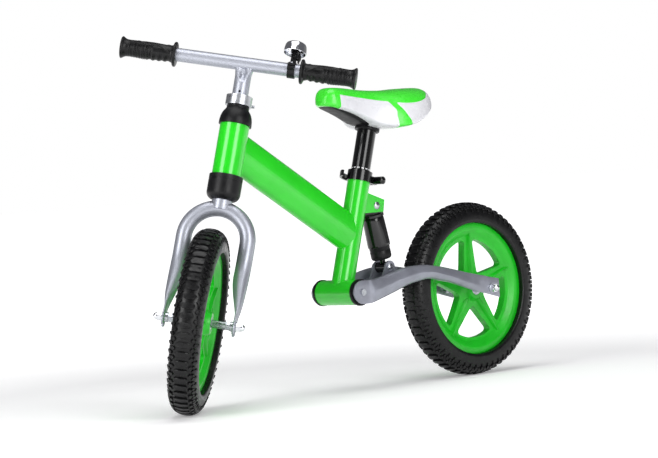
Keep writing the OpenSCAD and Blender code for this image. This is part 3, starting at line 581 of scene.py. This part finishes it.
# fork: one tube bent over the wheel, its ends pressed flat and slotted for the axle
fork = {"tube": 13, "legAt": 52, "endAt": 57, "crown": 182, "straight": 20, "bend": 120, "lean": 15.56,
        "toAxle": 90.6, "tip": 15, "flat": 2.3, "flatWide": 14, "slot": 8.2}


def forkPath(s):
    # the middle of the left leg by distance from the crown: the point, the way down, and how flat it is
    quarter = fork["legAt"] * pi / 2
    arcLow = fork["crown"] - fork["legAt"] - fork["straight"]
    lean = radians(fork["lean"])
    bendLong = fork["bend"] * lean
    if s <= quarter:
        a = s / fork["legAt"]
        return (Vector((0, fork["legAt"] * sin(a), fork["crown"] - fork["legAt"] * (1 - cos(a)))),
                Vector((0, cos(a), -sin(a))), 0)
    s -= quarter
    if s <= fork["straight"]:
        return Vector((0, fork["legAt"], arcLow + fork["straight"] - s)), Vector((0, 0, -1)), 0
    s -= fork["straight"]
    if s <= bendLong:
        a = s / fork["bend"]
        return (Vector((fork["bend"] * (1 - cos(a)), fork["legAt"], arcLow - fork["bend"] * sin(a))),
                Vector((sin(a), 0, -cos(a))), 0)
    s -= bendLong
    down = Vector((sin(lean), 0, -cos(lean)))
    start = Vector((fork["bend"] * (1 - cos(lean)), fork["legAt"], arcLow - fork["bend"] * sin(lean)))
    k = min(max((s - 4) / (fork["toAxle"] - 22), 0), 1)
    ease = k * k * (3 - 2 * k)
    return start + down * s + Vector((0, (fork["endAt"] - fork["legAt"]) * ease, 0)), down, k


def makeFork():
    total = fork["legAt"] * pi / 2 + fork["straight"] + fork["bend"] * radians(fork["lean"])
    total += fork["toAxle"] + fork["tip"]
    count = 84
    half = []
    for k in range(count + 1):
        s = total * k / count
        centre, down, flat = forkPath(s)
        ease = flat ** 1.6
        thick = fork["tube"] + (fork["flat"] - fork["tube"]) * ease
        wide = fork["tube"] + (fork["flatWide"] - fork["tube"]) * min(flat * 1.25, 1)
        left = total - s
        if left < 9:                                   # the tip is rounded off
            wide *= sqrt(max(1 - ((9 - left) / 10) ** 2, 0.05))
        outward = Vector((0, 1, 0)) - down * down.y
        outward = outward.normalized() if s > 0.01 else Vector((0, 0, 1))
        front = down.cross(outward).normalized()
        power = 2 + 1.6 * ease
        ring = ovalRing(centre, front, outward, wide, thick, 32, power)
        half.append(ring)
    other = [[Vector((p.x, -p.y, p.z)) for p in ring] for ring in reversed(half[1:])]
    # the other leg is this one mirrored and in reverse order, so that the two meet at the crown
    rings = other + half
    obj = skinned(rings)
    axleAt, down, _ = forkPath(total - fork["tip"])
    for side in (1, -1):
        bpy.ops.mesh.primitive_cube_add(size=1, location=(0, side * fork["endAt"], 0),
                                        scale=(fork["slot"], 30, 30))
        cutter = bpy.context.object
        bpy.ops.object.transform_apply(location=True, rotation=False, scale=True)
        for vertex in cutter.data.vertices:
            vertex.co.z += -11
        useModifier(cutter, "BEVEL", width=3.9, segments=5, limit_method="ANGLE")
        cutter.matrix_world = Matrix.Translation((axleAt.x, 0, axleAt.z)) @ \
            Matrix.Rotation(radians(-fork["lean"]), 4, "Y")
        useModifier(obj, "BOOLEAN", operation="DIFFERENCE", object=cutter, solver="EXACT")
        bpy.data.objects.remove(cutter)
    useModifier(obj, "BEVEL", width=0.5, segments=2, limit_method="ANGLE", angle_limit=radians(60))
    return obj


forkTube = makeFork()
setDown(forkTube, steered, 50)
finishPiece(forkTube, "forkTube", "steering", silverLacquer, "silver_paint", "fork")
print("fork bent")


# swing arm: two pressed shells welded edge to edge, flat at both ends, with a crease along the outer face
arm = {"pivot": (303, 167), "disc": 20, "end": -18, "round": 2.6,
       "inner": [(285, 48.8), (276, 45), (250, 41.5), (200, 39.5), (145, 38.5), (90, 40.5), (52, 43.8),
                 (30, 48.6), (16, 52.9), (-18, 52.9)],
       "thick": [(290, 3.5), (285, 5), (277, 11), (262, 13.6), (250, 15), (200, 19), (145, 21), (90, 19),
                 (60, 16.5), (42, 13.4), (28, 8.6), (16, 4.6), (-18, 4.5)],
       "middle": [(303, 167), (285, 167), (262, 170), (230, 177), (193, 185.7), (165, 188.5), (142, 189),
                  (115, 184), (92, 179), (60, 169.5), (38, 163), (10, 155.5), (-18, 149)],
       "height": [(303, 40), (285, 39.5), (262, 38), (230, 36), (193, 31.5), (165, 28), (142, 24.5),
                  (115, 26), (92, 26), (60, 29), (38, 31), (10, 31.5), (-18, 34)],
       "crease": [(285, -1), (225, 1), (188, 0), (160, 0), (135, -1), (101, -3), (52, -6.5), (27, -8)]}


def roundedRing(corners, reach):
    # a closed section with each corner softened: two points beside it and one just inside it
    ring = []
    for k, corner in enumerate(corners):
        before = corners[k - 1] - corner
        after = corners[(k + 1) % len(corners)] - corner
        a = corner + before * min(reach / max(before.length, 0.01), 0.42)
        b = corner + after * min(reach / max(after.length, 0.01), 0.42)
        ring += [a, (a + b) / 4 + corner / 2, b]
    return ring


def makeSwingArm(side):
    places = [arm["pivot"][0] + arm["disc"] * sin(radians(t)) for t in (89, 80, 70, 58, 45, 30, 15, 0)]
    places += [arm["pivot"][0] - step for step in (6, 12)]
    x = 288.0
    while x > arm["end"] + 1:
        places.append(x)
        x -= 1.8 if x > 270 or x < 50 else 5.0
    places.append(arm["end"])
    rings = []
    for x in places:
        inner = between(arm["inner"], x)[0]
        thick = between(arm["thick"], x)[0]
        middle = between(arm["middle"], x)[0]
        half = between(arm["height"], x)[0] / 2
        crease = between(arm["crease"], x)[0]
        ahead = x - arm["pivot"][0]
        if ahead > 0:
            half = max(sqrt(max(arm["disc"] ** 2 - ahead ** 2, 0)), 0.4)
            crease = 0
        flat = min(max((thick - 5) / 10, 0), 1)
        shoulder = 0.98 - 0.1 * flat
        corners = [Vector((0, (0.62 - 0.10 * flat) * half)), Vector((0.20 * thick * flat, half)),
                   Vector(((1 - 0.36 * flat) * thick, half * shoulder)),
                   Vector(((1 - 0.12 * flat) * thick, crease + (half - crease) * 0.42)),
                   Vector((thick, crease)),
                   Vector(((1 - 0.30 * flat) * thick, -half * 0.80)),
                   Vector(((1 - 0.62 * flat) * thick, -half)),
                   Vector((0, -half * (0.86 - 0.1 * flat)))]
        section = roundedRing(corners, arm["round"] * min(1, 0.25 + thick / 16))
        rings.append([Vector((x, inner + c.x, middle + c.y)) for c in section])
    obj = skinned(rings)
    bpy.ops.mesh.primitive_cylinder_add(vertices=32, radius=4.15, depth=20, location=(0, 55, 150))
    cutter = bpy.context.object
    bpy.ops.object.transform_apply(location=True)
    cutter.matrix_world = Matrix.Translation((0, 55, 150)) @ Matrix.Rotation(radians(90), 4, "X") @ \
        Matrix.Translation((0, -55, -150))
    useModifier(obj, "BOOLEAN", operation="DIFFERENCE", object=cutter, solver="EXACT")
    bpy.data.objects.remove(cutter)
    if side < 0:
        obj.matrix_world = Matrix.Scale(-1, 4, Vector((0, 1, 0)))
        activate(obj)
        bpy.ops.object.transform_apply(location=True, rotation=True, scale=True)
    return obj


for side, name in ((1, "Left"), (-1, "Right")):
    swingArm = makeSwingArm(side)
    setDown(swingArm, bike, 28)
    finishPiece(swingArm, "swingArm" + name, "swing_arm", armLacquer, "arm_paint",
                "swing_arm_" + name.lower())
print("swing arms pressed")


# grips: moulded rubber with a flange, finger hollows beneath, a dotted thumb pad on top and ribs outside
grip = {"start": 102.5, "long": 92, "ribPitch": 2.7, "ribDeep": 0.45, "hollowPitch": 10.0, "hollowDeep": 1.5,
        "padAt": 39, "padLong": 25, "padTurn": 42, "padDeep": 0.7, "dotPitch": 2.3,
        "profile": [(0, 18.2), (0.5, 19.7), (1.6, 20.5), (3.4, 20.5), (4.6, 19.7), (5.4, 17.6),
                    (6.6, 14.6), (9, 13.9), (20, 14.4), (38, 15.3), (52, 15.2), (66, 14.3), (78, 13.9),
                    (83, 14.2), (86.5, 15.6), (89, 17.4), (90.4, 18.1), (91.4, 17.9), (92, 17.1)]}


def step(low, high, value):
    t = min(max((value - low) / (high - low), 0), 1)
    return t * t * (3 - 2 * t)


def gripRadius(s, turn):
    # turn is measured from the top of the grip towards its front, in degrees
    rows = grip["profile"]
    k = max(i for i in range(len(rows) - 1) if rows[i][0] <= s or i == 0)
    share = min(max((s - rows[k][0]) / (rows[k + 1][0] - rows[k][0]), 0), 1)
    radius = rows[k][1] + (rows[k + 1][1] - rows[k][1]) * share
    if s < 7 or s > 86:
        return radius
    fromTop = abs((turn + 180) % 360 - 180)
    low = step(7, 12, s) * (1 - step(80, 84, s))
    seam = 62 + 34 * (1 - step(8, 30, s)) - 14 * step(60, 82, s)     # the wavy edge between palm and ribs
    under = step(seam - 3, seam + 5, fromTop)
    radius += 0.55 * (step(seam - 7, seam - 1, fromTop) - step(seam - 1, seam + 4, fromTop)) * low
    ribs = step(34, 42, s) * (1 - step(78, 81, s)) * under
    radius += grip["ribDeep"] * ribs * (cos(2 * pi * s / grip["ribPitch"]) - 0.6)
    hollows = (1 - step(46, 54, s)) * step(100, 150, fromTop) * step(7, 10, s)
    radius -= grip["hollowDeep"] * hollows * (0.5 - 0.5 * cos(2 * pi * (s - 8) / grip["hollowPitch"]))
    padAcross = ((turn + 180) % 360 - 180 - 14) / grip["padTurn"]
    reach = sqrt(((s - grip["padAt"]) / grip["padLong"]) ** 2 + padAcross ** 2)
    pad = 1 - step(0.92, 1.0, reach)
    radius += 0.35 * (step(0.94, 1.0, reach) - step(1.0, 1.12, reach))
    dots = sin(2 * pi * s / grip["dotPitch"]) * sin(2 * pi * radians(turn) * 15 / grip["dotPitch"])
    radius += pad * (-grip["padDeep"] + 0.4 * max(dots, 0))
    return radius


def makeGrip(side):
    rings = []
    count, around = 150, 112
    for k in range(count + 1):
        s = grip["long"] * k / count
        ring = []
        for j in range(around):
            turn = 360 * j / around
            radius = gripRadius(s, turn)
            a = radians(turn)
            ring.append(Vector((sin(a) * radius, side * (grip["start"] + s), cos(a) * radius)))
        rings.append(ring)
    obj = skinned(rings)
    return obj


barPlace = steered @ Matrix.Translation((0, -11.5, 425))
for side, name in ((1, "left"), (-1, "right")):
    handGrip = makeGrip(side)
    setDown(handGrip, barPlace, 40)
    finishPiece(handGrip, name + "Grip", "handlebar", gripRubber, "grip_rubber", "grip_" + name)
print("grips moulded")


# bell: a spun and polished steel cup, a little wider at its mouth
bell = {"at": 88, "tilt": -10,
        "cup": [(17.6, 30.2), (18.5, 30.0), (18.9, 30.5), (18.8, 31.4), (18.3, 36), (17.7, 41), (17.2, 43.6),
                (16.2, 45.7), (14.3, 47.0), (11, 47.7), (7, 48), (2.6, 48), (2.6, 47), (7, 47), (11, 46.7),
                (13.8, 46), (15.3, 44.8), (16.2, 43), (16.7, 41), (17.3, 36), (17.6, 30.2)]}
bellPlace = barPlace @ Matrix.Translation((0, bell["at"], 0)) @ Matrix.Rotation(radians(bell["tilt"]), 4, "Y")
cup = turned(bell["cup"], 72)
setDown(cup, bellPlace, 40)
finishPiece(cup, "bellCup", "handlebar", chromePlate, "chrome_nut", "bell_dome")


# stem: a round tube, pressed in at the front under the handlebar, with a locating hole above the clamp
stem = {"radius": 13.25, "low": 276.5, "high": 421, "pressFrom": 390, "pressDeep": 8.5, "roundTo": 402,
        "hole": 2.0, "holeAt": 376}


def makeStem():
    rings = []
    around = 64
    heights = [stem["low"], 300, 340, 366] + [370 + 1.5 * k for k in range(34)] + [stem["high"]]
    for z in heights:
        ring = []
        rise = step(stem["pressFrom"] - 4, stem["high"] - 4, z)
        for j in range(around):
            a = 2 * pi * j / around                    # from the front, turning to the left
            away = abs((j / around * 360 + 180) % 360 - 180)
            spread = 16 + 44 * rise
            press = stem["pressDeep"] * step(stem["pressFrom"], stem["pressFrom"] + 16, z) * \
                (1 - step(spread * 0.35, spread, away))
            spreadOut = step(stem["roundTo"], stem["high"] - 4, z)       # it stays round where it slides
            wide = 1 + 0.12 * spreadOut * abs(sin(a))
            radius = stem["radius"] - press
            ring.append(Vector((cos(a) * radius, sin(a) * radius * wide, z)))
        rings.append(ring)
    obj = skinned(rings)
    bpy.ops.mesh.primitive_cylinder_add(vertices=24, radius=stem["hole"], depth=12,
                                        location=(14, 0, stem["holeAt"]), rotation=(0, radians(90), 0))
    cutter = bpy.context.object
    useModifier(obj, "BOOLEAN", operation="DIFFERENCE", object=cutter, solver="EXACT")
    bpy.data.objects.remove(cutter)
    return obj


# upper cup of the headset: a rubber dome that closes up to the clamp
headset = {"cup": [(15.2, 321.2), (26.8, 321.2), (26.8, 325), (26.4, 330), (25.4, 335), (23.8, 339.6),
                   (21.6, 343.6), (19.2, 346.8), (18.3, 348.6), (18.2, 352.8), (17.7, 353.2),
                   (15.2, 353.2), (15.2, 321.2)]}
upperCup = turned(headset["cup"], 72)
setDown(upperCup, steered, 40)
finishPiece(upperCup, "headsetUpperCup", "frame", mouldedAbs, "black_plastic", "headset_upper_cup")
stemTube = makeStem()
setDown(stemTube, steered, 35)
finishPiece(stemTube, "stemTube", "handlebar", silverLacquer, "silver_paint", "stem")
# a black disc set just inside the locating hole: painted shade, so that the hole reads dark
bpy.ops.mesh.primitive_circle_add(vertices=24, radius=1.95, fill_type="NOTHING",
                                  location=(9.5, 0, stem["holeAt"]), rotation=(0, radians(90), 0))
holeShadeDisc = bpy.context.object
bpy.ops.object.transform_apply(location=True, rotation=True, scale=True)
inEdit(holeShadeDisc, lambda: (bpy.ops.mesh.select_all(action="SELECT"),
                           bpy.ops.mesh.extrude_region_move(TRANSFORM_OT_translate={"value": (0.6, 0, 0)}),
                           bpy.ops.mesh.select_all(action="SELECT"), bpy.ops.mesh.fill_holes(sides=0)))
setDown(holeShadeDisc, steered)
finishPiece(holeShadeDisc, "stemHolePaintedShade", "handlebar", mouldedAbs, "black_plastic")
print("bell and stem made")


# saddle: foam on a moulded shell, covered in green and white vinyl; x is measured ahead of the rear axle
saddle = {
    "width": [(90, 0.4), (90.4, 12), (92, 21), (96, 32), (103, 42), (113, 51), (127, 60), (145, 66.5),
              (162, 68.5), (180, 65.5), (200, 57), (220, 46), (240, 37), (260, 31), (280, 28.5),
              (291, 27), (302, 25), (311, 21.5), (318, 16), (322.6, 9), (325, 0.4)],
    "under": [(90, 470), (101, 465.5), (126, 454), (151, 443), (170, 437), (193, 434.8), (206, 436),
              (226, 441), (242, 450), (260, 459.5), (280, 467.5), (300, 473.5), (315, 478), (325, 480.5)],
    "over": [(90, 472), (91.5, 482), (94.5, 492), (100, 499), (108, 502), (119, 502.7), (157, 502.3),
             (191, 501), (233, 503), (275, 508), (299, 509.5), (309, 508.8), (316, 504.5), (321, 496),
             (324, 486), (325, 482)],
    "leaf": [(99, 501), (102, 499), (107, 495.5), (117, 489), (130, 482.5), (152, 477.5), (175, 476.5),
             (205, 480.5), (230, 485), (269, 492), (285, 494.5), (299, 497), (320, 499)],
    "stripeFront": [(434, 197), (444, 197.5), (456.5, 199), (465, 198), (471.5, 201.7), (479, 205.5),
                    (487, 214)],
    "stripeBack": [(434, 173), (447, 176.5), (456.5, 182), (465, 186), (472.6, 191), (479, 195), (487, 200)],
    "noseBack": 298.5, "lip": 6}


def saddleRing(x, count=96):
    wide = between(saddle["width"], x)[0]
    under = between(saddle["under"], x)[0]
    over = between(saddle["over"], x)[0]
    level = under + min(saddle["lip"], 0.3 * (over - under))
    nose = step(270, 310, x)
    ring = []
    for k in range(count):
        a = 2 * pi * k / count
        c, s = cos(a), sin(a)
        if s >= 0:                                     # the crown, squarer at the nose
            power = 2.25 + 0.75 * nose
            y = wide * abs(c) ** (2 / (power + 0.2)) * (1 if c >= 0 else -1)
            z = level + (over - level) * s ** (2 / power)
        else:                                          # the skirt, turned in under the edge
            y = wide * abs(c) ** (2 / 4.5) * (1 if c >= 0 else -1)
            z = level - (level - under) * abs(s) ** (2 / 2.4)
        ring.append(Vector((x, y, z)))
    return ring


def panelDistance(x, z):
    # how far a point of the cover lies inside the green panels, in millimetres
    leaf = z - between(saddle["leaf"], x)[0] if x > 99 else -5
    front = between(saddle["stripeFront"], z)[0]
    back = between(saddle["stripeBack"], z)[0]
    return max(leaf, x - saddle["noseBack"], min(front - x, x - back))


places = [325, 324.5, 323.6, 322, 320, 317.5, 314.5, 311]
x = 308.0
while x > 104:
    places.append(x)
    x -= 2.0
places += [102, 100, 98, 96, 94.4, 93, 92, 91, 90.4, 90]
saddlePad = skinned([saddleRing(x) for x in places])
panel = saddlePad.data.attributes.new("panel", "FLOAT", "POINT")
panel.data.foreach_set("value", [panelDistance(v.co.x, v.co.z) for v in saddlePad.data.vertices])
setDown(saddlePad, bike, 60)
finishPiece(saddlePad, "saddlePad", "seat", saddleVinyl, "saddle_vinyl", "saddle_pad")
print("saddle covered")

# saddle base: the moulded shell's keel under the nose, and its socket with a flange round the post
keel = {"under": [(150, 455), (190, 447), (215, 443), (234, 443.5), (253, 450.8), (271.4, 459.6),
                  (293, 468.6), (312, 476), (320, 480)],
        "wide": [(150, 46), (190, 42), (215, 33), (240, 24), (270, 21), (295, 18.5), (311, 16), (320, 6)],
        "socketAt": 281,
        "socket": [(16.3, -1), (20.2, -1), (21.0, -0.2), (21.0, 8.4), (20.4, 9.2), (20.4, 12.6), (23.0, 14.2),
                   (25.4, 17.0), (26.6, 21.0), (27.0, 32), (16.3, 32), (16.3, -1)]}
rings = []
for k in range(42):
    x = 320 - 4 * k
    low = between(keel["under"], x)[0]
    high = between(saddle["under"], x)[0] + (4 if x > 240 else 12)
    half = between(keel["wide"], x)[0]
    rings.append(ovalRing(Vector((x, 0, (low + high) / 2)), Vector((0, 1, 0)), Vector((0, 0, 1)), half,
                          (high - low) / 2, 40, 3.2))
keelPiece = skinned(rings)
setDown(keelPiece, bike, 50)
socket = turned(keel["socket"])
setDown(socket, seatTube @ Matrix.Translation((0, 0, keel["socketAt"])), 40)
saddleShell = joinPieces([keelPiece, socket])
finishPiece(saddleShell, "saddleShell", "seat", mouldedAbs, "black_plastic", "saddle_base")
print("saddle shell moulded")


# shock absorber: the sprayed steel sleeve, a little wider below, and the rubber boot that slides in it
damper = {
    "sleeve": [(10.5, -19.4), (16.6, -19.2), (17.6, -19.8), (18.2, -21.2), (18.6, -26), (19.1, -45),
               (19.5, -66), (19.5, -69.6), (19.0, -70.7), (18.5, -71), (18.2, -70.6), (18.2, -24),
               (10.5, -24), (10.5, -19.4)],
    "boot": [(10.6, -62), (17.6, -62), (17.6, -76), (17.1, -76.8), (17.1, -77.6), (17.6, -78.4),
             (17.6, -88.6), (16.9, -91.2), (15.2, -92.6), (12.5, -93), (6.2, -93), (6.2, -90),
             (10.6, -90), (10.6, -62)]}
sleeve = turned(damper["sleeve"])
setDown(sleeve, shock, 40)
finishPiece(sleeve, "shockSleeve", "shock_body", blackEnamel, "black_paint", "shock_cover")
boot = turned(damper["boot"])
setDown(boot, shock, 40)
finishPiece(boot, "shockBoot", "shock_lower", mouldedAbs, "black_plastic", "shock_boot")
print("shock absorber made")


# the setting: pale floor, soft light from above and two tall soft boxes in front, one each side of the camera
bpy.ops.object.select_all(action="DESELECT")
paperSheet = {"size": 40, "glowFrom": 0.75, "glowTo": 2.2, "nearGlow": 0.22, "farGlow": 1.1}
bpy.ops.mesh.primitive_plane_add(size=paperSheet["size"], location=(0, 0, 0))
floorPlane = bpy.context.object
floorPlane.name = "floor"
paper, tree, shader, where = newMaterial("matteStudioPaper", {
    "Roughness": 0.9, "Specular IOR Level": 0.1, "Emission Color": (1, 1, 1, 1)})
twoTone(tree, shader, where, ("#f1f1f1", "#f5f5f5"), 900)
fromBike = addNode(tree, "VectorMath", {"operation": "LENGTH"}, {0: where})
sweep = addNode(tree, "MapRange", {"From Min": paperSheet["glowFrom"], "From Max": paperSheet["glowTo"],
                                   "To Min": paperSheet["nearGlow"], "To Max": paperSheet["farGlow"]},
                {"Value": fromBike.outputs["Value"]})       # the paper is lit from behind away from the bike
tree.links.new(sweep.outputs["Result"], shader.inputs["Emission Strength"])
floorPlane.data.materials.append(paper)

world = bpy.data.worlds.new("studio")
world.use_nodes = True
bpy.context.scene.world = world
tree = world.node_tree
backdrop = tree.nodes["Background"]
backdrop.inputs["Strength"].default_value = 1.0
direction = addNode(tree, "TexCoord").outputs["Generated"]
height = addNode(tree, "SeparateXYZ", {}, {"Vector": direction}).outputs["Z"]
sky = addNode(tree, "ValToRGB", {}, {"Fac": height})       # grey walls to eye height, a darker ceiling
sky.color_ramp.elements[0].position = 0.12
sky.color_ramp.elements[0].color = (0.2, 0.2, 0.2, 1)
sky.color_ramp.elements[1].position = 0.3
sky.color_ramp.elements[1].color = (0.13, 0.13, 0.14, 1)
seen = addNode(tree, "LightPath").outputs["Is Camera Ray"]  # the paper behind the bike is plain white
behind = addNode(tree, "MixRGB", {"Color2": (1, 1, 1, 1)}, {"Fac": seen, "Color1": sky.outputs["Color"]})
tree.links.new(behind.outputs["Color"], backdrop.inputs["Color"])

lamps = {
    "above": {"at": (0.3, 0.5, 3.0), "aim": (0, 0, 0.2), "size": (2.6, 2.0), "watts": 50},
    "noseSide": {"at": (3.3, 0.15, 1.4), "aim": (0, 0, 0.3), "size": (1.5, 2.2), "watts": 60},
    "tailSide": {"at": (0.7, 3.25, 1.4), "aim": (0, 0, 0.3), "size": (1.4, 2.2), "watts": 56}}
for name, lamp in lamps.items():
    light = bpy.data.lights.new(name, "AREA")
    light.shape = "RECTANGLE"
    light.size, light.size_y = lamp["size"]
    light.energy = lamp["watts"]
    obj = bpy.data.objects.new(name, light)
    bpy.context.collection.objects.link(obj)
    obj.location = lamp["at"]
    obj.rotation_euler = (Vector(lamp["aim"]) - Vector(lamp["at"])).to_track_quat("-Z", "Y").to_euler()

view = {"at": (3.4024, 3.6249, 0.4007), "aim": (0.00125, -0.00893, 0.27440), "tilt": -3.896, "lens": 162.84}
lens = bpy.data.cameras.new("camera")
lens.lens = view["lens"]
lens.sensor_width = 36
lens.clip_end = 100
camera = bpy.data.objects.new("camera", lens)
bpy.context.collection.objects.link(camera)
look = (Vector(view["aim"]) - Vector(view["at"])).to_track_quat("-Z", "Y")
camera.matrix_world = Matrix.Translation(view["at"]) @ look.to_matrix().to_4x4() @ \
    Matrix.Rotation(radians(view["tilt"]), 4, "Z")
bpy.context.scene.camera = camera
bpy.context.scene.view_settings.view_transform = "Standard"
